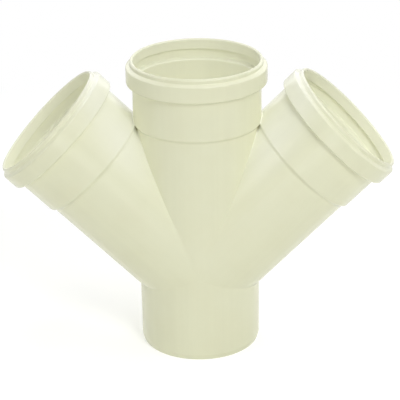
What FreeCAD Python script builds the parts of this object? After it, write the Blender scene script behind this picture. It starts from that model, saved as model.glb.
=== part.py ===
"""Double wye: a drain fitting with one straight run and two branches at 45 degrees in one plane.

Moulded as one hollow piece. A plain chamfered spigot is at the foot of the run, and the run and both
branches end in equal ring-seal sockets. The sealing rings are loose parts of the pipes' joints and aren't
part of the moulding, so each groove is empty. Lengths are in millimetres. The origin is the centre of the
spigot's end face, +Z runs up the run, and the branches lean towards -X and +X.
"""
import FreeCAD, Part
import math
import os

# Pipe that the fitting joins
pipe_diameter = 110.0
pipe_clearance = 0.3

# Barrels and the way they meet
barrel_wall = 3.4
branch_angle = 45.0
crotch_round = 1.5

# Spigot, a little slimmer than the barrel above it, with a slow taper between them
spigot_reach = 81.0
spigot_chamfer_length = 4.5
spigot_chamfer_depth = 1.4
spigot_relief = 0.2
relief_length = 3.0
relief_margin = 1.5

# Socket, measured from the point where the three axes meet
step_height = 132.3
step_rise = 2.8
stop_floor = 0.9
socket_depth = 56.5
socket_wall = 2.5

# Ring groove, its bead and the lip above it
lip_length = 9.7
lip_clearance = 1.5
lip_wall = 3.0
groove_width = 9.2
groove_depth = 5.1
bead_wall = 2.8
bead_floor = 2.0
bead_shoulder = 3.7
shoulder_rise = 2.0

# Bevels of the socket's edges
bead_bevel = 1.0
lip_bevel = 1.2
mouth_chamfer = 1.0

# How far a cutting tool runs past the face that it opens
tool_overrun = 2.0

# Derived radii
spigot_radius = pipe_diameter / 2
barrel_radius = spigot_radius + spigot_relief
barrel_bore = barrel_radius - barrel_wall
socket_bore = spigot_radius + pipe_clearance
socket_radius = socket_bore + socket_wall
groove_radius = socket_bore + groove_depth
bead_radius = groove_radius + bead_wall
lip_bore = spigot_radius + lip_clearance
lip_radius = lip_bore + lip_wall

# Derived heights in a socket's own frame
step_top = step_height + step_rise
stop_height = step_top + stop_floor
mouth_height = stop_height + socket_depth
groove_top = mouth_height - lip_length
groove_base = groove_top - groove_width
bead_base = groove_base - bead_floor
bead_top = groove_top + bead_shoulder
shoulder_top = bead_top + shoulder_rise
socket_root = step_height - step_rise
barrel_top = bead_base

# Derived heights below the point where the axes meet
seam_foot = -barrel_radius * math.tan(math.radians(branch_angle / 2))
relief_top = seam_foot - relief_margin
spigot_top = relief_top - relief_length

AXIS_POINT = FreeCAD.Vector(0, 0, 0)
AXIS = FreeCAD.Vector(0, 0, 1)
SIDEWAYS = FreeCAD.Vector(0, 1, 0)


def turned(corners):
    """Solid turned about the Z axis from the (radius, height) corners of a section that touches that axis."""
    points = [FreeCAD.Vector(radius, 0, height) for radius, height in corners]
    face = Part.Face(Part.makePolygon(points + points[:1]))
    return face.revolve(AXIS_POINT, AXIS, 360)


def leaned(shape, angle):
    """The shape leaned towards +X by an angle about the point where the axes meet."""
    copy = shape.copy()
    copy.rotate(AXIS_POINT, SIDEWAYS, angle)
    return copy


def run_barrel():
    """Outside of the run with its chamfered spigot. Its top is inside the socket and is cut away there."""
    return turned([
        (0, -spigot_reach),
        (spigot_radius - spigot_chamfer_depth, -spigot_reach),
        (spigot_radius, spigot_chamfer_length - spigot_reach),
        (spigot_radius, spigot_top),
        (barrel_radius, relief_top),
        (barrel_radius, barrel_top),
        (0, barrel_top),
    ])


def branch_barrel():
    """Outside of a branch, upright. It is as wide as the run, so that the seams are half ellipses."""
    return Part.makeCylinder(barrel_radius, barrel_top, AXIS_POINT, AXIS)


def joined_barrels():
    """The three barrels as one solid, rounded along the seams in the two upper crotches.

    The seams under the branches stay tight. All of them fade out where the barrels touch front and back.
    """
    branches = [leaned(branch_barrel(), angle) for angle in (-branch_angle, branch_angle)]
    barrels = run_barrel().fuse(branches).removeSplitter()
    seams = [edge for edge in barrels.Edges if edge.Curve.TypeId == "Part::GeomEllipse"]
    crotch_seams = [edge for edge in seams if edge.CenterOfMass.z > 0]
    return barrels.makeFillet(crotch_round, crotch_seams)


def socket_outside():
    """Outside of a socket: sloped step, body, bead over the groove, shoulder and lip."""
    return turned([
        (0, socket_root),
        (barrel_radius, socket_root),
        (barrel_radius, step_height),
        (socket_radius, step_top),
        (socket_radius, bead_base),
        (bead_radius - bead_bevel, bead_base),
        (bead_radius, bead_base + bead_bevel),
        (bead_radius, bead_top),
        (lip_radius, shoulder_top),
        (lip_radius, mouth_height - lip_bevel),
        (lip_radius - lip_bevel, mouth_height),
        (0, mouth_height),
    ])


def socket_hollow():
    """Inside of a socket: pipe stop, sliding wall, ring groove, lip and open mouth."""
    chamfer_end = mouth_chamfer + tool_overrun
    return turned([
        (0, stop_height),
        (socket_bore, stop_height),
        (socket_bore, groove_base),
        (groove_radius, groove_base),
        (groove_radius, groove_top),
        (lip_bore, groove_top),
        (lip_bore, mouth_height - mouth_chamfer),
        (lip_bore + chamfer_end, mouth_height + tool_overrun),
        (0, mouth_height + tool_overrun),
    ])


def bore(start_height):
    """Waterway of one barrel, from a height up to the pipe stop."""
    start = FreeCAD.Vector(0, 0, start_height)
    return Part.makeCylinder(barrel_bore, stop_height - start_height, start, AXIS)


def double_wye():
    """The whole fitting, hollow, standing on its spigot."""
    angles = (-branch_angle, 0, branch_angle)
    outside = joined_barrels().fuse([leaned(socket_outside(), angle) for angle in angles])
    hollows = [leaned(socket_hollow(), angle) for angle in angles]
    hollows += [leaned(bore(0), angle) for angle in (-branch_angle, branch_angle)]
    hollows.append(bore(-spigot_reach - tool_overrun))
    body = outside.cut(hollows).removeSplitter()
    body.translate(AXIS * spigot_reach)
    return body.Solids[0]


os.makedirs("parts", exist_ok=True)
fitting = double_wye()
fitting.exportStep("parts/double_wye_body.step")
box = fitting.BoundBox
print("double_wye_body", "valid" if fitting.isValid() else "NOT VALID", "faces", len(fitting.Faces))
print("size", round(box.XLength, 2), round(box.YLength, 2), round(box.ZLength, 2))
print("volume", round(fitting.Volume), "centre", [round(value, 2) for value in fitting.CenterOfMass])
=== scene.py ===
"""Studio picture of a double wye: a cream drain fitting with one run and two branches at 45 degrees.

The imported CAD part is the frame. The fitting's skin is built again here on the same section, with the
roundings of a moulding at every edge and in the seams where the barrels meet, and it stands for the CAD node.
The fitting's sizes are in millimetres and become metres as the mesh is written.
"""
from __future__ import annotations

import logging
import math
from dataclasses import dataclass, field
from enum import Enum
from typing import Any, Sequence

import bpy
from mathutils import Matrix, Vector


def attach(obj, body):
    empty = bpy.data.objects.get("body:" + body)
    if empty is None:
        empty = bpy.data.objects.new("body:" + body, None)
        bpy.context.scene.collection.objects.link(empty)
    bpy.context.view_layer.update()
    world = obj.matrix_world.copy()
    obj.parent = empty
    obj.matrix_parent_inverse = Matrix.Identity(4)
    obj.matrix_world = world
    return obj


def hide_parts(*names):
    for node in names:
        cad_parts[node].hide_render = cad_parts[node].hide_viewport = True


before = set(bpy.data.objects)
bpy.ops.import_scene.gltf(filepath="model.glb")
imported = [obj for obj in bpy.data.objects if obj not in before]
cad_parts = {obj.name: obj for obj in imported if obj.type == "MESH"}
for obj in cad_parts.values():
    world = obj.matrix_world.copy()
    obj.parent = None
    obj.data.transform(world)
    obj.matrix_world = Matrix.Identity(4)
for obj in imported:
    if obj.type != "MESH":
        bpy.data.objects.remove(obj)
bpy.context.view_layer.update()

LOG = logging.getLogger("double_wye")
BODY = "root"
CAD_NODE = "double_wye_body"

MILLIMETRE = 0.001
RIGHT_ANGLE = math.pi / 2

Colour = tuple[float, float, float]
Point = tuple[float, float]

WHITE: Colour = (1.0, 1.0, 1.0)
# Strength at which a glowing surface or the world is plain white in the picture
WHITE_STRENGTH = 1.0

# Names of the mesh's attributes, which are those of each point's painted light and marks
PAINTED_SHEEN = "painted_sheen"
CORNER_SHADE = "corner_shade"
INSIDE = "inside"
TURN = "turn"


def smooth(value: float, start: float, end: float) -> float:
    """Smooth step of a number, from 0 at the start to 1 at the end."""
    share = min(max((value - start) / (end - start), 0.0), 1.0)
    return share * share * (3 - 2 * share)


def opaque(colour: Colour) -> tuple[float, float, float, float]:
    """The colour as a socket takes it."""
    return (*colour, 1.0)


def add_object(name: str, data: bpy.types.ID) -> bpy.types.Object:
    """Makes an object and adds it to the scene.

    Args:
        name: The object's name.
        data: Its mesh, lamp or camera.

    Returns:
        The object.
    """
    made = bpy.data.objects.new(name, data)
    bpy.context.scene.collection.objects.link(made)
    return made


# Shader expressions

# Average value of a noise texture
NOISE_MIDDLE = 0.5
# Sockets of the Mix node that its colour form uses
MIX_SHARE = 0
MIX_FIRST = 6
MIX_SECOND = 7
MIX_RESULT = 2


class Signal:
    """A shader socket whose arithmetic adds Math nodes to its material."""

    def __init__(self, graph: ShaderGraph, socket: bpy.types.NodeSocket) -> None:
        """Wraps an output socket of the graph.

        Args:
            graph: The graph that the socket belongs to.
            socket: The output socket.
        """
        self.graph = graph
        self.socket = socket

    def _math(self, operation: str, *values: Signal | float) -> Signal:
        """Adds one Math node.

        Args:
            operation: The Math node's operation.
            values: Its inputs in order, sockets or numbers.

        Returns:
            The node's result.
        """
        return self.graph.node("ShaderNodeMath", {"operation": operation}, dict(enumerate(values)))

    def __add__(self, other: Signal | float) -> Signal:
        """Sum."""
        return self._math("ADD", self, other)

    __radd__ = __add__

    def __sub__(self, other: Signal | float) -> Signal:
        """Difference."""
        return self._math("SUBTRACT", self, other)

    def __rsub__(self, other: float) -> Signal:
        """Number less this socket."""
        return self._math("SUBTRACT", other, self)

    def __mul__(self, other: Signal | float) -> Signal:
        """Product."""
        return self._math("MULTIPLY", self, other)

    __rmul__ = __mul__

    def __abs__(self) -> Signal:
        """Size without sign."""
        return self._math("ABSOLUTE", self)

    def fade(self, start: float, end: float) -> Signal:
        """Smooth step of this value.

        Args:
            start: The value at which the result is 0.
            end: The value at which the result is 1.

        Returns:
            A value from 0 to 1.
        """
        ranges = {"Value": self, "From Min": start, "From Max": end}
        return self.graph.node("ShaderNodeMapRange", {"interpolation_type": "SMOOTHSTEP"}, ranges)


class Spread(Enum):
    """How a noise spreads: the texture's dimensions and the socket that it reads."""

    SOLID = ("3D", "Vector")
    LINE = ("1D", "W")


@dataclass(frozen=True)
class Grain:
    """One noise of a finish.

    Attributes:
        scale: Features in a metre, or in a radian where it runs round an arm.
        detail: How many finer layers are added.
        roughness: How strong the finer layers are.
        spread: How it spreads.
    """

    scale: float
    detail: float
    roughness: float
    spread: Spread = Spread.SOLID


class ShaderGraph:
    """The node tree of one material or world."""

    def __init__(self, tree: bpy.types.NodeTree) -> None:
        """Empties the tree and keeps it.

        Args:
            tree: The node tree to fill.
        """
        self.tree = tree
        tree.nodes.clear()

    def node(
        self,
        kind: str,
        settings: dict[str, Any] | None = None,
        inputs: dict[str | int, Any] | None = None,
        output: str | int = 0,
    ) -> Signal:
        """Adds a node of any type.

        Args:
            kind: The node's type.
            settings: Its properties, which are set before its sockets.
            inputs: Values or signals by socket name or number.
            output: The output socket that is wanted.

        Returns:
            The chosen output.
        """
        made = self.tree.nodes.new(kind)
        for name, value in (settings or {}).items():
            setattr(made, name, value)
        for key, value in (inputs or {}).items():
            if isinstance(value, Signal):
                self.tree.links.new(value.socket, made.inputs[key])
            else:
                made.inputs[key].default_value = value
        return Signal(self, made.outputs[output])

    def finish(self, kind: str, surface: Signal) -> None:
        """Adds the output node.

        Args:
            kind: The output node's type.
            surface: The shader for its first socket.
        """
        made = self.tree.nodes.new(kind)
        self.tree.links.new(surface.socket, made.inputs[0])

    def showing(self) -> Signal:
        """Tells the rays that show the background from those that light the object.

        Returns:
            1 for the camera's rays and those of gloss and clear material, 0 for the others.
        """
        camera, glossy, clear = (
            self.node("ShaderNodeLightPath", output=f"Is {kind} Ray")
            for kind in ("Camera", "Glossy", "Transmission")
        )
        return camera + glossy + clear

    def attribute(self, name: str) -> Signal:
        """Reads one of the mesh's attributes."""
        return self.node("ShaderNodeAttribute", {"attribute_name": name}, output="Fac")

    def noise(self, grain: Grain, place: Signal) -> Signal:
        """Adds a noise texture.

        Args:
            grain: Its grain.
            place: The coordinates or the value that it reads.

        Returns:
            The noise, about 0.5 on average.
        """
        dimensions, socket = grain.spread.value
        values = {socket: place, "Scale": grain.scale, "Detail": grain.detail, "Roughness": grain.roughness}
        return self.node("ShaderNodeTexNoise", {"noise_dimensions": dimensions}, values)

    def blend(self, share: Signal, first: Colour | Signal, second: Colour | Signal) -> Signal:
        """Mixes two colours.

        Args:
            share: How much of the second colour there is, from 0 to 1.
            first: The colour at 0.
            second: The colour at 1.

        Returns:
            The mixed colour.
        """
        ends = [end if isinstance(end, Signal) else opaque(end) for end in (first, second)]
        values = {MIX_SHARE: share, MIX_FIRST: ends[0], MIX_SECOND: ends[1]}
        return self.node("ShaderNodeMix", {"data_type": "RGBA"}, values, output=MIX_RESULT)

    def cover(self, share: Signal, first: Signal, second: Signal) -> Signal:
        """Covers one shader with another.

        Args:
            share: How much of the second shader there is, from 0 to 1.
            first: The shader at 0.
            second: The shader at 1.

        Returns:
            The mixed shader.
        """
        return self.node("ShaderNodeMixShader", None, {0: share, 1: first, 2: second})


def blank_material(name: str) -> tuple[bpy.types.Material, ShaderGraph]:
    """Makes a material with no nodes.

    Args:
        name: Its name.

    Returns:
        The material and its graph.
    """
    made = bpy.data.materials.new(name)
    made.use_nodes = True
    return made, ShaderGraph(made.node_tree)


# Finishes


@dataclass(frozen=True)
class MouldedPlastic:
    """Satin cream plastic as it comes from a mould, with painted sheen, painted shade and painted inside
    light in its colour.

    Attributes:
        cream: The main colour, linear.
        warm: The colour of the slightly yellower patches.
        painted_sheen_colour: The paler, whiter colour of the upward-looking walls near the crotches, a
            painted sheen for the light from above and the arms' reflections there.
        painted_inside_light: The paler colour inside, a painted brightening that stands in for light reaching
            into the sockets.
        painted_shade_colour: The darker colour of the tight corners, a painted shade for the shadow that
            falls there.
        roughness: The middle roughness.
        roughness_range: How far the roughness wanders.
        inside_roughness: How much rougher the plastic is inside.
        gloss: The shader's specular level.
        refraction: Its index of refraction.
        wipe: The noise by which the roughness wanders.
        peel: The fine skin texture.
        peel_height: Height of that texture in metres.
        sink: The slow waviness.
        sink_height: Height of the waviness in metres.
        patches: Values of the waviness between which the warm patches come in.
        draw: The marks that the mould's cores and sleeves leave along each axis.
        draw_height: Height in metres of those marks.
        draw_tone: How much lighter or darker they are.
        parting_width: Half width in metres of the mould's parting line.
        parting_height: Height in metres of that line.
    """

    cream: Colour = (0.642, 0.647, 0.477)
    warm: Colour = (0.634, 0.636, 0.463)
    painted_sheen_colour: Colour = (0.695, 0.700, 0.600)
    painted_inside_light: Colour = (0.680, 0.684, 0.540)
    painted_shade_colour: Colour = (0.260, 0.255, 0.150)
    roughness: float = 0.24
    roughness_range: float = 0.12
    inside_roughness: float = 0.3
    gloss: float = 0.5
    refraction: float = 1.5
    wipe: Grain = Grain(68.889, 4.0, 0.6)
    peel: Grain = Grain(620.0, 2.0, 0.6)
    peel_height: float = 0.00004
    sink: Grain = Grain(26.0, 3.0, 0.55)
    sink_height: float = 0.0004
    patches: tuple[float, float] = (0.35, 0.7)
    draw: Grain = Grain(7.0, 3.0, 0.6, Spread.LINE)
    draw_height: float = 0.00006
    draw_tone: float = 0.03
    parting_width: float = 0.00035
    parting_height: float = 0.00004

    def material(self, name: str) -> bpy.types.Material:
        """Makes the material.

        Args:
            name: Its name.

        Returns:
            The material.
        """
        made, graph = blank_material(name)
        place = graph.node("ShaderNodeTexCoord", output="Object")
        sink = graph.noise(self.sink, place)
        peel = graph.noise(self.peel, place)
        wipe = graph.noise(self.wipe, place)
        draw = graph.noise(self.draw, graph.attribute(TURN))
        depth = graph.node("ShaderNodeSeparateXYZ", None, {0: place}, output="Y")
        parting = 1 - abs(depth).fade(0.0, self.parting_width)
        inside = graph.attribute(INSIDE)
        aged = graph.blend(sink.fade(*self.patches), self.cream, self.warm)
        # Painted sheen: a paler, whiter colour on the upward-looking walls near the crotches, for the light
        # from above and the arms' reflections there.
        pale = graph.blend(graph.attribute(PAINTED_SHEEN), aged, self.painted_sheen_colour)
        # Painted inside light: a paler colour all over the inside, standing in for light that reaches into
        # the sockets.
        inside_lit = graph.blend(inside, pale, self.painted_inside_light)
        # Painted shade: a dark colour in the pocket where two sockets' steps meet and along the corner under
        # each bead.
        shaded = graph.blend(graph.attribute(CORNER_SHADE), inside_lit, self.painted_shade_colour)
        tone = 1 + (draw - NOISE_MIDDLE) * self.draw_tone
        colour = graph.node("ShaderNodeVectorMath", {"operation": "SCALE"}, {0: shaded, "Scale": tone})
        wander = (wipe - NOISE_MIDDLE) * self.roughness_range
        roughness = self.roughness + wander + inside * self.inside_roughness
        heights = (
            peel * self.peel_height
            + sink * self.sink_height
            + parting * self.parting_height
            + draw * self.draw_height
        )
        normal = graph.node("ShaderNodeBump", None, {"Strength": 1.0, "Distance": 1.0, "Height": heights})
        surface = graph.node("ShaderNodeBsdfPrincipled", None, {
            "Base Color": colour,
            "Roughness": roughness,
            "Normal": normal,
            "IOR": self.refraction,
            "Specular IOR Level": self.gloss,
        })
        graph.finish("ShaderNodeOutputMaterial", surface)
        return made


@dataclass(frozen=True)
class PaleFloor:
    """Matt white studio floor, seen as plain white with the object's soft shadow.

    Attributes:
        white: The colour that shows under the lamps, linear.
        bounce: The duller colour that lights the object from below.
        glow: Plain white that is added to the colour that shows.
        near: Distance in metres from the object up to which the shadow shows in full.
        far: Distance in metres from which the floor shows as plain white.
    """

    white: Colour = (0.80, 0.80, 0.79)
    bounce: Colour = (0.79, 0.79, 0.74)
    glow: float = 0.22
    near: float = 0.35
    far: float = 0.75

    def material(self, name: str) -> bpy.types.Material:
        """Makes the material.

        Args:
            name: Its name.

        Returns:
            The material.
        """
        made, graph = blank_material(name)
        matt, dull = (
            graph.node("ShaderNodeBsdfDiffuse", None, {"Color": opaque(colour)})
            for colour in (self.white, self.bounce)
        )
        glow, plain = (
            graph.node("ShaderNodeEmission", None, {"Strength": strength})
            for strength in (self.glow, WHITE_STRENGTH)
        )
        near = graph.node("ShaderNodeAddShader", None, {0: matt, 1: glow})
        place = graph.node("ShaderNodeTexCoord", output="Object")
        distance = graph.node("ShaderNodeVectorMath", {"operation": "LENGTH"}, {0: place}, output="Value")
        shown = graph.cover(distance.fade(self.near, self.far), near, plain)
        graph.finish("ShaderNodeOutputMaterial", graph.cover(graph.showing(), dull, shown))
        return made


# Turned sections

# A wall that rises or falls by more than this share of its length gets rings at the stations
STEEP = 0.9
# Rings of a wall are further apart in height than this, in millimetres
RING_GAP = 0.001
# Fewest steps of a rounding
ARC_STEPS = 2
# A seam's plane that is this near to a ring's edge, as a share of its radius, doesn't cut it
SEAM_MARGIN = 1e-9


@dataclass(frozen=True)
class Corner:
    """A corner of a turned section, with the radius of its rounding."""

    radius: float
    height: float
    rounding: float = 0.0


@dataclass(frozen=True)
class Ring:
    """One circle of a turned surface: its radius, its height and its normal in the section."""

    radius: float
    height: float
    out: float
    up: float

    def seam_angle(self, half_gap: float, ball: float) -> float:
        """Where a seam cuts this ring.

        Args:
            half_gap: Half of the angle between this arm and its neighbour.
            ball: Radius of the seam's rounding, negative where it rounds an inner edge.

        Returns:
            The angle from the seam's side at which the ring starts, 0 where it is a whole circle.
        """
        reach = (self.height + self.up * ball) * math.tan(half_gap)
        share = reach / (self.radius + self.out * ball)
        return 0.0 if share > 1 - SEAM_MARGIN else math.acos(max(share, 0.0))


@dataclass
class Section:
    """A turned section drawn from corners, up the outside, over the mouth and back down the inside.

    Attributes:
        corners: The corners in order.
        stations: Heights at which straight walls get a ring more.
        arc_step: The largest turn between two rings of a rounding.
    """

    corners: Sequence[Corner]
    stations: Sequence[float]
    arc_step: float = math.radians(16)

    def rings(self) -> list[Ring]:
        """Draws the section with its roundings.

        Returns:
            Its rings in order.
        """
        points = [(corner.radius, corner.height) for corner in self.corners]
        lines = [self._direction(first, second) for first, second in zip(points, points[1:])]
        made: list[Ring] = []
        start = points[0]
        for corner, point, line, following in zip(self.corners[1:], points[1:], lines, lines[1:]):
            trim = corner.rounding * math.tan(abs(self._turn(line, following)) / 2)
            end = self._along(point, line, -trim)
            made += self._wall(start, end, line)
            made += self._arc(end, line, following, corner.rounding)
            start = self._along(point, following, trim)
        return made + self._wall(start, points[-1], lines[-1])

    @staticmethod
    def _direction(first: Point, second: Point) -> Point:
        """Unit vector from one point of the section to the next."""
        length = math.dist(first, second)
        return ((second[0] - first[0]) / length, (second[1] - first[1]) / length)

    @staticmethod
    def _along(point: Point, line: Point, distance: float) -> Point:
        """Point at a distance along a direction."""
        return (point[0] + line[0] * distance, point[1] + line[1] * distance)

    @staticmethod
    def _turn(line: Point, following: Point) -> float:
        """Angle by which the section turns left from one line to the next."""
        cross = line[0] * following[1] - line[1] * following[0]
        return math.atan2(cross, line[0] * following[0] + line[1] * following[1])

    def _wall(self, start: Point, end: Point, line: Point) -> list[Ring]:
        """Rings of a straight wall.

        Args:
            start: Its first point.
            end: Its last point.
            line: Its direction.

        Returns:
            The ring at its start, and where it rises or falls the one at its end. A steep wall also has
            those at the stations in between.
        """
        rise = end[1] - start[1]
        shares = [0.0, 1.0]
        if abs(line[1]) > STEEP:
            shares += [(station - start[1]) / rise for station in self.stations]
        kept = [0.0]
        for share in sorted(share for share in shares if 0 <= share <= 1):
            if (share - kept[-1]) * abs(rise) > RING_GAP:
                kept.append(share)
        return [
            Ring(start[0] + (end[0] - start[0]) * share, start[1] + rise * share, line[1], -line[0])
            for share in kept
        ]

    def _arc(self, start: Point, line: Point, following: Point, rounding: float) -> list[Ring]:
        """Rings of a rounding.

        Args:
            start: Its first point.
            line: Direction of the wall before it.
            following: Direction of the wall after it.
            rounding: Its radius.

        Returns:
            The rings between its two ends, which are left to the walls.
        """
        turn = self._turn(line, following)
        side = math.copysign(rounding, turn)
        centre = (start[0] - line[1] * side, start[1] + line[0] * side)
        count = max(ARC_STEPS, math.ceil(abs(turn) / self.arc_step))
        made = []
        for step in range(1, count):
            angle = turn * step / count
            out = line[0] * math.sin(angle) + line[1] * math.cos(angle)
            up = line[1] * math.sin(angle) - line[0] * math.cos(angle)
            made.append(Ring(centre[0] + out * side, centre[1] + up * side, out, up))
        return made


# Mesh

# Points that round to the same thousandth of a millimetre are one point
STEPS_IN_MILLIMETRE = 1000
# Directions that differ by less, in radians, are one direction
SAME_ANGLE = 1e-6


@dataclass(frozen=True)
class PaintedLightAndMarks:
    """A point's painted light and draw marks, which its finish depends on, as attributes of the mesh.

    Attributes:
        painted_sheen: How much painted sheen it gets, from 0 to 1.
        corner_shade: How much painted shade it gets in a tight corner, from 0 to 1.
        inside: 1 inside the fitting.
        turn: Its angle round its arm, which the draw marks follow.
    """

    painted_sheen: float
    corner_shade: float
    inside: float
    turn: float


@dataclass
class Skin:
    """A mesh under construction whose points carry their exact normals and are shared where they meet.

    Attributes:
        points: The points, in millimetres from the axes' point.
        normals: Their normals.
        light_and_marks: Their painted light and draw marks, which their finish depends on.
        faces: The faces, as numbers of points.
        known: The points' numbers by their rounded places.
    """

    points: list[Vector] = field(default_factory=list)
    normals: list[Vector] = field(default_factory=list)
    light_and_marks: list[PaintedLightAndMarks] = field(default_factory=list)
    faces: list[tuple[int, ...]] = field(default_factory=list)
    known: dict[tuple[int, ...], int] = field(default_factory=dict)

    def point(self, place: Vector, normal: Vector, light_and_marks: PaintedLightAndMarks) -> int:
        """Adds a point, or finds it if another patch has it already.

        Args:
            place: The point, in millimetres from the axes' point.
            normal: The surface's normal there.
            light_and_marks: Its painted light and draw marks, which its finish depends on.

        Returns:
            The point's number.
        """
        key = tuple(round(value * STEPS_IN_MILLIMETRE) for value in place)
        if key not in self.known:
            self.known[key] = len(self.points)
            self.points.append(place.copy())
            self.normals.append(normal.normalized())
            self.light_and_marks.append(light_and_marks)
        return self.known[key]

    def quad(self, corners: Sequence[int]) -> None:
        """Adds a face that looks along its points' normals, less any corners that coincide.

        Args:
            corners: Numbers of its four points, in order round it.
        """
        kept = [corner for index, corner in enumerate(corners) if corner != corners[index - 1]]
        if len(set(kept)) < 3 or len(set(kept)) < len(kept):
            return
        places = [self.points[corner] for corner in kept]
        facing = (places[1] - places[0]).cross(places[2] - places[0])
        if len(kept) == 4:
            facing = (places[2] - places[0]).cross(places[3] - places[1])
        outward = sum((self.normals[corner] for corner in kept), Vector())
        self.faces.append(tuple(kept if facing.dot(outward) > 0 else reversed(kept)))

    def grid(self, rows: Sequence[Sequence[int]]) -> None:
        """Fills the spaces between rows of points.

        Args:
            rows: Numbers of the points, as many in each row.
        """
        for low, high in zip(rows, rows[1:]):
            for left in range(len(low) - 1):
                self.quad((low[left], low[left + 1], high[left + 1], high[left]))

    def object(self, name: str, lift: float) -> bpy.types.Object:
        """Makes the Blender object.

        Args:
            name: The object's name.
            lift: Height in millimetres by which the points are raised.

        Returns:
            The object, in metres.
        """
        mesh = bpy.data.meshes.new(name)
        raised = [(point + Vector((0, 0, lift))) * MILLIMETRE for point in self.points]
        mesh.from_pydata(raised, [], self.faces)
        mesh.validate()
        mesh.polygons.foreach_set("use_smooth", [True] * len(mesh.polygons))
        mesh.normals_split_custom_set_from_vertices(self.normals)
        for label in (PAINTED_SHEEN, CORNER_SHADE, INSIDE, TURN):
            values = [getattr(light_and_marks, label) for light_and_marks in self.light_and_marks]
            mesh.attributes.new(label, "FLOAT", "POINT").data.foreach_set("value", values)
        return add_object(name, mesh)


# Fitting

# Outer radius of the pipes that the fitting joins, in millimetres
PIPE_RADIUS = 55.0


class Side(Enum):
    """The two halves of the skin, either side of the plane of the three axes."""

    FRONT = -1
    BACK = 1


@dataclass
class Arm:
    """One arm of the fitting about its own axis, from the point where the axes meet.

    Attributes:
        lean: Angle of its axis from upright towards the right, in radians.
        section: Its turned section.
        mirrored: True where its angle is counted the other way round, so that it agrees with its neighbours'
            at the seams.
        rings: The rings of its section.
        mouth: Number of its furthest ring. Those after it are inside.
        axis: Direction of its axis.
        across: Direction to its right-hand side.
    """

    lean: float
    section: Section
    mirrored: bool
    rings: list[Ring] = field(init=False)
    mouth: int = field(init=False)
    axis: Vector = field(init=False)
    across: Vector = field(init=False)

    def __post_init__(self) -> None:
        """Works out the arm's rings and directions."""
        self.rings = self.section.rings()
        self.mouth = max(range(len(self.rings)), key=lambda number: self.rings[number].height)
        self.axis = Vector((math.sin(self.lean), 0, math.cos(self.lean)))
        self.across = Vector((math.cos(self.lean), 0, -math.sin(self.lean)))

    def turn(self, angle: float) -> float:
        """Angle round the arm that is the same on both sides of a seam."""
        return math.pi - angle if self.mirrored else angle

    def outward(self, angle: float, side: Side) -> Vector:
        """Direction straight out from the axis at an angle from the arm's right-hand side."""
        return self.across * math.cos(angle) + Vector((0, side.value * math.sin(angle), 0))

    def normal(self, ring: Ring, angle: float, side: Side) -> Vector:
        """Normal of a ring at an angle from the arm's right-hand side."""
        return self.outward(angle, side) * ring.out + self.axis * ring.up

    def place(self, ring: Ring, angle: float, side: Side) -> Vector:
        """Point of a ring at an angle from the arm's right-hand side."""
        return self.outward(angle, side) * ring.radius + self.axis * ring.height


@dataclass(frozen=True)
class Barrel:
    """Plain tube of the run and of both branches, a little wider than the spigot."""

    relief: float = 0.2
    wall: float = 3.4

    @property
    def radius(self) -> float:
        """Outer radius."""
        return PIPE_RADIUS + self.relief

    @property
    def bore(self) -> float:
        """Inner radius."""
        return self.radius - self.wall


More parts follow.
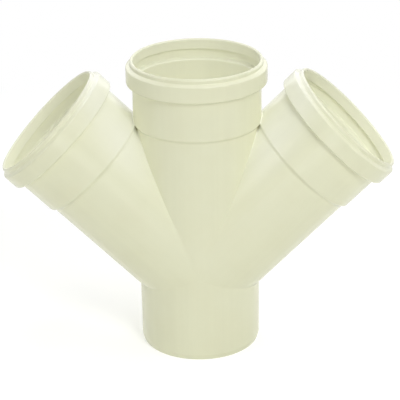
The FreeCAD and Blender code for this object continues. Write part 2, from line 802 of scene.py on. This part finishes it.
@dataclass(frozen=True)
class Socket:
    """Ring-seal socket at the end of an arm, with heights from the point where the axes meet.

    The sizes are those of the CAD source. The roundings are those of the moulding's edges, from the step over
    the mouth to the pipe stop.
    """

    step_height: float = 132.3
    step_rise: float = 2.8
    stop_floor: float = 0.9
    depth: float = 56.5
    clearance: float = 0.3
    wall: float = 2.5
    lip_length: float = 9.7
    lip_clearance: float = 1.5
    lip_wall: float = 3.0
    lip_bevel: float = 1.2
    mouth_chamfer: float = 1.0
    groove_width: float = 9.2
    groove_depth: float = 5.1
    bead_wall: float = 2.8
    bead_floor: float = 2.0
    bead_bevel: float = 1.0
    bead_shoulder: float = 3.7
    shoulder_rise: float = 2.0
    step_foot_rounding: float = 3.4
    step_top_rounding: float = 2.6
    bead_foot_rounding: float = 0.15
    bead_edge_rounding: float = 0.9
    bead_rounding: float = 1.2
    bead_top_rounding: float = 1.5
    shoulder_rounding: float = 0.8
    lip_rounding: float = 1.2
    rim_rounding: float = 0.7
    chamfer_top_rounding: float = 0.4
    chamfer_foot_rounding: float = 1.0
    lip_edge_rounding: float = 0.4
    groove_top_rounding: float = 0.8
    groove_base_rounding: float = 1.2
    slide_edge_rounding: float = 1.6
    stop_rounding: float = 0.6
    stop_edge_rounding: float = 0.4

    @property
    def bore(self) -> float:
        """Radius of the sliding wall."""
        return PIPE_RADIUS + self.clearance

    @property
    def radius(self) -> float:
        """Outer radius of the body."""
        return self.bore + self.wall

    @property
    def stop_height(self) -> float:
        """Height of the pipe stop."""
        return self.step_height + self.step_rise + self.stop_floor

    @property
    def mouth_height(self) -> float:
        """Height of the mouth."""
        return self.stop_height + self.depth

    @property
    def groove_base(self) -> float:
        """Height of the groove's lower wall."""
        return self.mouth_height - self.lip_length - self.groove_width

    @property
    def bead_base(self) -> float:
        """Height of the bead's underside."""
        return self.groove_base - self.bead_floor

    def section(self, barrel: Barrel, stations: Sequence[float]) -> Section:
        """Draws the barrel with its step, body, bead, shoulder, lip, groove, sliding wall, stop and bore.

        Args:
            barrel: The barrel below the socket.
            stations: Heights at which its straight walls get a ring more.

        Returns:
            The section.
        """
        step_top = self.step_height + self.step_rise
        groove_top = self.mouth_height - self.lip_length
        bead_top = groove_top + self.bead_shoulder
        shoulder_top = bead_top + self.shoulder_rise
        groove_radius = self.bore + self.groove_depth
        bead_radius = groove_radius + self.bead_wall
        lip_bore = PIPE_RADIUS + self.lip_clearance
        lip_radius = lip_bore + self.lip_wall
        return Section([
            Corner(barrel.radius, 0),
            Corner(barrel.radius, self.step_height, self.step_foot_rounding),
            Corner(self.radius, step_top, self.step_top_rounding),
            Corner(self.radius, self.bead_base, self.bead_foot_rounding),
            Corner(bead_radius - self.bead_bevel, self.bead_base, self.bead_edge_rounding),
            Corner(bead_radius, self.bead_base + self.bead_bevel, self.bead_rounding),
            Corner(bead_radius, bead_top, self.bead_top_rounding),
            Corner(lip_radius, shoulder_top, self.shoulder_rounding),
            Corner(lip_radius, self.mouth_height - self.lip_bevel, self.lip_rounding),
            Corner(lip_radius - self.lip_bevel, self.mouth_height, self.rim_rounding),
            Corner(lip_bore + self.mouth_chamfer, self.mouth_height, self.chamfer_top_rounding),
            Corner(lip_bore, self.mouth_height - self.mouth_chamfer, self.chamfer_foot_rounding),
            Corner(lip_bore, groove_top, self.lip_edge_rounding),
            Corner(groove_radius, groove_top, self.groove_top_rounding),
            Corner(groove_radius, self.groove_base, self.groove_base_rounding),
            Corner(self.bore, self.groove_base, self.slide_edge_rounding),
            Corner(self.bore, self.stop_height, self.stop_rounding),
            Corner(barrel.bore, self.stop_height, self.stop_edge_rounding),
            Corner(barrel.bore, 0),
        ], stations)


@dataclass(frozen=True)
class Spigot:
    """Plain foot of the run with its chamfered end, measured downwards from the point where the axes meet.

    The sizes are those of the CAD source, apart from the slow draft from the barrel to the pipe's radius.
    """

    length: float = 81.0
    chamfer_length: float = 4.5
    chamfer_depth: float = 1.4
    draft_start: float = 24.4
    draft_rounding: float = 200.0
    chamfer_rounding: float = 3.0
    end_rounding: float = 0.4

    def section(self, barrel: Barrel, stations: Sequence[float]) -> Section:
        """Draws the barrel with its draft, chamfer, end and bore.

        Args:
            barrel: The barrel above the spigot.
            stations: Heights at which its straight walls get a ring more.

        Returns:
            The section.
        """
        return Section([
            Corner(barrel.radius, 0),
            Corner(barrel.radius, self.draft_start, self.draft_rounding),
            Corner(PIPE_RADIUS, self.length - self.chamfer_length, self.chamfer_rounding),
            Corner(PIPE_RADIUS - self.chamfer_depth, self.length, self.end_rounding),
            Corner(barrel.bore, self.length, self.end_rounding),
            Corner(barrel.bore, 0),
        ], stations)


@dataclass(frozen=True)
class SeamRounding:
    """Rounding of the seams between two neighbouring arms, which fades out into the front and back.

    Attributes:
        tight: Its radius in the corner.
        wide: Its radius at the front and back.
        fade: Heights along the arms between which it goes from wide to tight.
        rings: How many rings the barrels get along the seam.
        bore_rings: How many rings the bores get along theirs.
    """

    tight: float
    wide: float
    fade: tuple[float, float]
    rings: int
    bore_rings: int

    def radius(self, height: float) -> float:
        """Radius at a height along the arms."""
        return self.wide + (self.tight - self.wide) * smooth(height, *self.fade)


@dataclass(frozen=True)
class SheenAndShadeMasks:
    """Where the outside gets its painted sheen and its painted shade.

    Attributes:
        crotch_width: Distances from a crotch's middle plane between which its painted sheen ends.
        crotch_height: Heights up that plane between which its painted sheen begins.
        upward: Shares by which a wall looks upwards between which its painted sheen begins.
        pocket_height: Height along the arms of the pocket of painted shade where two sockets' steps meet.
        pocket_width: Half width of that pocket.
        pocket_reach: Distances from its middle between which it ends.
        line_reach: Distances from the corner under a bead between which its painted shade line ends.
        line_depth: How dark that line is, as a share of the pocket.
    """

    crotch_width: tuple[float, float] = (4.0, 48.0)
    crotch_height: tuple[float, float] = (85.0, 150.0)
    upward: tuple[float, float] = (0.1, 0.6)
    pocket_height: float = 130.5
    pocket_width: float = 3.2
    pocket_reach: tuple[float, float] = (1.0, 6.0)
    line_reach: tuple[float, float] = (0.2, 0.8)
    line_depth: float = 0.45


@dataclass(frozen=True)
class DoubleWye:
    """The whole fitting: three socketed arms and a spigot, which meet in one point.

    Attributes:
        branch_lean: Angle of the branches from the run, in radians.
        barrel: The arms' barrels.
        socket: The socket of the run and of each branch.
        spigot: The run's foot.
        crotch: Rounding of the seams between the run and each branch.
        underside: Rounding of the seams between each branch and the spigot.
        bore_ball: Radius of the roundings between the bores.
        notch_rings: How many rings the sockets' bodies get where they meet over a crotch.
        notch_step: Angle round a socket between those rings.
        sheen_and_shade: Where the painted sheen and painted shade go.
        columns: How many faces there are round half an arm.
        seam_strips: How many faces there are across a seam's rounding.
        name: The skin's name.
    """

    branch_lean: float = math.radians(45)
    barrel: Barrel = Barrel()
    socket: Socket = Socket()
    spigot: Spigot = Spigot()
    crotch: SeamRounding = SeamRounding(tight=0.5, wide=13.0, fade=(26.0, 64.0), rings=30, bore_rings=20)
    underside: SeamRounding = SeamRounding(tight=0.7, wide=8.0, fade=(9.0, 22.0), rings=14, bore_rings=10)
    bore_ball: float = 0.5
    notch_rings: int = 6
    notch_step: float = math.radians(3.0)
    sheen_and_shade: SheenAndShadeMasks = SheenAndShadeMasks()
    columns: int = 48
    seam_strips: int = 5
    name: str = "double_wye_skin"

    def stations(self) -> list[float]:
        """Finds where the arms' seams need rings.

        Returns:
            Heights along the arms, the same for each of them.
        """
        heights = {0.0, self.socket.bead_base - self.sheen_and_shade.line_reach[1]}
        seams = (
            (self.crotch, self.branch_lean / 2),
            (self.underside, RIGHT_ANGLE - self.branch_lean / 2),
        )
        for seam, half_gap in seams:
            walls = (
                (self.barrel.radius + seam.tight, seam.rings),
                (self.barrel.bore + self.bore_ball, seam.bore_rings),
            )
            for radius, count in walls:
                top = radius / math.tan(half_gap)
                heights |= {top * math.cos(RIGHT_ANGLE * step / count) for step in range(count)}
        top = (self.socket.radius + self.crotch.tight) / math.tan(self.branch_lean / 2)
        heights |= {top * math.cos(self.notch_step * step) for step in range(self.notch_rings)}
        return sorted(heights)

    def arms(self) -> list[Arm]:
        """Draws the arms.

        Returns:
            Left branch, run, right branch and spigot, in order round the axes' point.
        """
        stations = self.stations()
        socketed = self.socket.section(self.barrel, stations)
        plain = self.spigot.section(self.barrel, stations)
        return [
            Arm(-self.branch_lean, socketed, mirrored=False),
            Arm(0.0, socketed, mirrored=True),
            Arm(self.branch_lean, socketed, mirrored=False),
            Arm(math.pi, plain, mirrored=True),
        ]

    def build(self) -> bpy.types.Object:
        """Builds the skin as one closed mesh.

        Returns:
            The object.
        """
        skin = Skin()
        arms = self.arms()
        for index, arm in enumerate(arms):
            following = arms[(index + 1) % len(arms)]
            before = arms[index - 1]
            for side in Side:
                self._arm_half(skin, arm, self._gap(arm, following), self._gap(before, arm), side)
                for inner in (False, True):
                    self._seam(skin, arm, following, side, inner)
        return skin.object(self.name, self.spigot.length)

    @staticmethod
    def _gap(first: Arm, second: Arm) -> float:
        """Half of the angle from one arm's axis to the next one's."""
        return (second.lean - first.lean) % math.tau / 2

    def _ball(self, half_gap: float, inner: bool, height: float) -> float:
        """Radius of a seam's rounding, negative inside the bore.

        Args:
            half_gap: Half of the angle between the arms.
            inner: True for the seam in the bore.
            height: Height along the arms, 0 at the front where the seam fades out.

        Returns:
            The radius, small in the corner and larger towards the front.
        """
        if inner:
            return -self.bore_ball
        seam = self.crotch if half_gap < RIGHT_ANGLE / 2 else self.underside
        return seam.radius(height)

    def _light_and_marks(self, place: Vector, facing: Vector, ring: Ring, inner: bool, turn: float) -> PaintedLightAndMarks:
        """Painted light and marks of a point: painted sheen on the upward-looking walls near the crotches,
        painted shade in the tight corners.

        Args:
            place: The point, in millimetres from the axes' point.
            facing: The direction that its wall looks in.
            ring: The ring that it lies on.
            inner: True inside the fitting.
            turn: Its angle round its arm.

        Returns:
            Its painted light and marks.
        """
        if inner:
            return PaintedLightAndMarks(0.0, 0.0, 1.0, turn)
        sheen_and_shade = self.sheen_and_shade
        lean = self.branch_lean / 2
        across = abs(abs(place.x) * math.cos(lean) - place.z * math.sin(lean))
        along = abs(place.x) * math.sin(lean) + place.z * math.cos(lean)
        # Painted sheen on the upward-looking walls near each crotch's middle plane.
        near = 1 - smooth(across, *sheen_and_shade.crotch_width)
        painted_sheen = near * smooth(facing.z, *sheen_and_shade.upward) * smooth(along, *sheen_and_shade.crotch_height)
        # Painted shade in the pocket where two sockets' steps meet and along the corner under each bead.
        depth = math.sqrt(self.barrel.radius ** 2 - (sheen_and_shade.pocket_height * math.tan(lean)) ** 2)
        reach = math.dist((along, abs(place.y)), (sheen_and_shade.pocket_height / math.cos(lean), depth))
        beside = smooth(across, 0.0, sheen_and_shade.pocket_width)
        pocket = (1 - beside) * (1 - smooth(reach, *sheen_and_shade.pocket_reach))
        corner = math.dist((ring.radius, ring.height), (self.socket.radius, self.socket.bead_base))
        line = sheen_and_shade.line_depth * (1 - smooth(corner, *sheen_and_shade.line_reach))
        return PaintedLightAndMarks(painted_sheen, max(pocket, line), 0.0, turn)

    def _arm_half(self, skin: Skin, arm: Arm, next_gap: float, last_gap: float, side: Side) -> None:
        """Adds half of an arm's surface between its seams.

        Args:
            skin: The mesh under construction.
            arm: The arm.
            next_gap: Half of the angle to the arm on its right.
            last_gap: Half of the angle to the arm on its left.
            side: Which half.
        """
        rows = []
        for number, ring in enumerate(arm.rings):
            inner = number > arm.mouth
            start = ring.seam_angle(next_gap, self._ball(next_gap, inner, ring.height))
            end = math.pi - ring.seam_angle(last_gap, self._ball(last_gap, inner, ring.height))
            row = []
            for column in range(self.columns + 1):
                angle = start + (end - start) * column / self.columns
                place = arm.place(ring, angle, side)
                light_and_marks = self._light_and_marks(place, arm.outward(angle, side), ring, inner, arm.turn(angle))
                row.append(skin.point(place, arm.normal(ring, angle, side), light_and_marks))
            rows.append(row)
        skin.grid(rows)

    def _seam(self, skin: Skin, arm: Arm, following: Arm, side: Side, inner: bool) -> None:
        """Adds half of the rounding between an arm and the next.

        Args:
            skin: The mesh under construction.
            arm: The first arm.
            following: The arm on its right.
            side: Which half.
            inner: True for the seam in the bore.
        """
        half_gap = self._gap(arm, following)
        rings = list(reversed(arm.rings)) if inner else arm.rings
        rows = []
        for ring in rings:
            ball = self._ball(half_gap, inner, ring.height)
            angle = ring.seam_angle(half_gap, ball)
            first = arm.normal(ring, angle, side).normalized()
            second = following.normal(ring, math.pi - angle, side).normalized()
            centre = arm.place(ring, angle, side) + first * ball
            opening = first.angle(second, 0.0)
            row = []
            for strip in range(self.seam_strips + 1):
                share = strip / self.seam_strips
                normal = first.slerp(second, share) if opening > SAME_ANGLE else first
                place = centre - normal * ball
                light_and_marks = self._light_and_marks(place, normal, ring, inner, arm.turn(angle))
                row.append(skin.point(place, normal, light_and_marks))
            rows.append(row)
            if angle == 0.0:
                break
        skin.grid(rows)

    def dress(self, skin: bpy.types.Object, finish: MouldedPlastic) -> None:
        """Gives the skin its finish and puts it in the CAD node's place.

        Args:
            skin: The skin's object.
            finish: The plastic's finish.
        """
        skin.data.materials.append(finish.material("cream_moulded_plastic"))
        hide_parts(CAD_NODE)
        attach(skin, BODY)


# Studio


def direction(azimuth: float, elevation: float) -> Vector:
    """Finds the direction from the fitting to a place in the studio.

    Args:
        azimuth: Degrees from the front towards the right.
        elevation: Degrees above the floor.

    Returns:
        The direction, one metre long.
    """
    turn, rise = math.radians(azimuth), math.radians(elevation)
    return Vector((math.sin(turn) * math.cos(rise), -math.cos(turn) * math.cos(rise), math.sin(rise)))


@dataclass(frozen=True)
class SoftLamp:
    """A square soft lamp aimed at the fitting.

    Attributes:
        name: Its name.
        azimuth: Its direction in degrees, 0 in front and 90 on the right.
        elevation: Its height in degrees.
        power: Its power in watts.
        size: Its width and height in metres.
        distance: Its distance in metres.
        shadows: False for a fill that reaches into hollows.
    """

    name: str
    azimuth: float
    elevation: float
    power: float
    size: float = 0.8
    distance: float = 1.6
    shadows: bool = True

    def hang(self, target: Vector) -> None:
        """Adds the lamp.

        Args:
            target: The point that it is aimed at.
        """
        lamp = bpy.data.lights.new(self.name, "AREA")
        lamp.shape = "SQUARE"
        lamp.size = self.size
        lamp.energy = self.power
        lamp.use_shadow = self.shadows
        made = add_object(self.name, lamp)
        towards = direction(self.azimuth, self.elevation)
        made.location = target + towards * self.distance
        made.rotation_mode = "QUATERNION"
        made.rotation_quaternion = towards.to_track_quat("Z", "Y")


@dataclass(frozen=True)
class Studio:
    """Pale floor, soft lamps and an even world light.

    Attributes:
        floor: The floor's finish.
        floor_size: The floor's width in metres.
        fill: Strength of the world light.
        lamps: The lamps.
    """

    floor: PaleFloor = PaleFloor()
    floor_size: float = 12.0
    fill: float = 0.09
    lamps: tuple[SoftLamp, ...] = (
        SoftLamp("key_lamp", 25, 38, 8.9, size=0.45),
        SoftLamp("top_lamp", 0, 88, 4.6),
        SoftLamp("top_right_lamp", 45, 68, 1.9, shadows=False),
        SoftLamp("high_right_lamp", 90, 68, 4.0, shadows=False),
        SoftLamp("left_lamp", -75, 42, 1.3),
        SoftLamp("left_fill", -60, 8, 8.0, shadows=False),
        SoftLamp("right_fill", 60, 8, 6.0, shadows=False),
        SoftLamp("front_fill", 0, 1, 4.0, shadows=False),
        SoftLamp("right_side_fill", 120, 8, 1.2, shadows=False),
        SoftLamp("left_side_fill", -120, 8, 0.5, shadows=False),
        SoftLamp("back_left_fill", -150, 38, 10.6, size=1.6, shadows=False),
        SoftLamp("back_right_fill", 150, 38, 9.3, size=1.6, shadows=False),
    )

    def build(self, target: Vector) -> None:
        """Sets up the studio round the fitting.

        Args:
            target: The point that the lamps are aimed at.
        """
        for lamp in self.lamps:
            lamp.hang(target)
        self._lay_floor()
        self._light_world()
        bpy.context.scene.view_settings.view_transform = "Standard"

    def _lay_floor(self) -> None:
        """Lays the floor under the spigot's end."""
        reach = self.floor_size / 2
        mesh = bpy.data.meshes.new("studio_floor")
        corners = [(-reach, -reach, 0), (reach, -reach, 0), (reach, reach, 0), (-reach, reach, 0)]
        mesh.from_pydata(corners, [], [(0, 1, 2, 3)])
        mesh.materials.append(self.floor.material("pale_floor"))
        floor = add_object("studio_floor", mesh)

    def _light_world(self) -> None:
        """Even light from all round, which the camera and reflections see as white."""
        world = bpy.data.worlds.new("studio")
        world.use_nodes = True
        bpy.context.scene.world = world
        graph = ShaderGraph(world.node_tree)
        fill, white = (
            graph.node("ShaderNodeBackground", None, {"Color": opaque(WHITE), "Strength": strength})
            for strength in (self.fill, WHITE_STRENGTH)
        )
        graph.finish("ShaderNodeOutputWorld", graph.cover(graph.showing(), fill, white))


@dataclass(frozen=True)
class View:
    """The photograph's camera.

    Attributes:
        target: The point at the picture's centre, in metres.
        azimuth: Direction of the camera from the target in degrees, 0 in front.
        elevation: Its height in degrees.
        roll: Its roll in degrees.
        distance: Its distance in metres.
        lens: Its focal length in millimetres.
        sensor: Width of its sensor in millimetres.
        clip: Nearest and furthest distance that it sees, in metres.
    """

    target: tuple[float, float, float] = (0.00119, 0.0, 0.13674)
    azimuth: float = 0.5232
    elevation: float = 23.2997
    roll: float = -0.9390
    distance: float = 1.52762
    lens: float = 149.78
    sensor: float = 36.0
    clip: tuple[float, float] = (0.05, 50.0)

    def place(self) -> None:
        """Makes the scene's camera."""
        back = direction(self.azimuth, self.elevation)
        right = (-back).cross(Vector((0, 0, 1))).normalized()
        up = right.cross(-back)
        roll = math.radians(self.roll)
        turned_right = right * math.cos(roll) + up * math.sin(roll)
        turned_up = up * math.cos(roll) - right * math.sin(roll)
        camera = bpy.data.cameras.new("photograph_view")
        camera.lens = self.lens
        camera.sensor_width = self.sensor
        camera.clip_start, camera.clip_end = self.clip
        made = add_object("photograph_view", camera)
        facing = Matrix((turned_right, turned_up, back)).transposed().to_4x4()
        made.matrix_world = Matrix.Translation(Vector(self.target) + back * self.distance) @ facing
        bpy.context.scene.camera = made


def main() -> None:
    """Builds the fitting, the studio and the camera."""
    logging.basicConfig(level=logging.INFO, format="%(name)s: %(message)s")
    fitting = DoubleWye()
    skin = fitting.build()
    fitting.dress(skin, MouldedPlastic())
    LOG.info("%s: %d faces, %d points", skin.name, len(skin.data.polygons), len(skin.data.vertices))
    view = View()
    view.place()
    LOG.info("camera %.3f m from the fitting", view.distance)
    studio = Studio()
    studio.build(Vector(view.target))
    LOG.info("studio with %d lamps", len(studio.lamps))


if __name__ == "__main__":
    main()
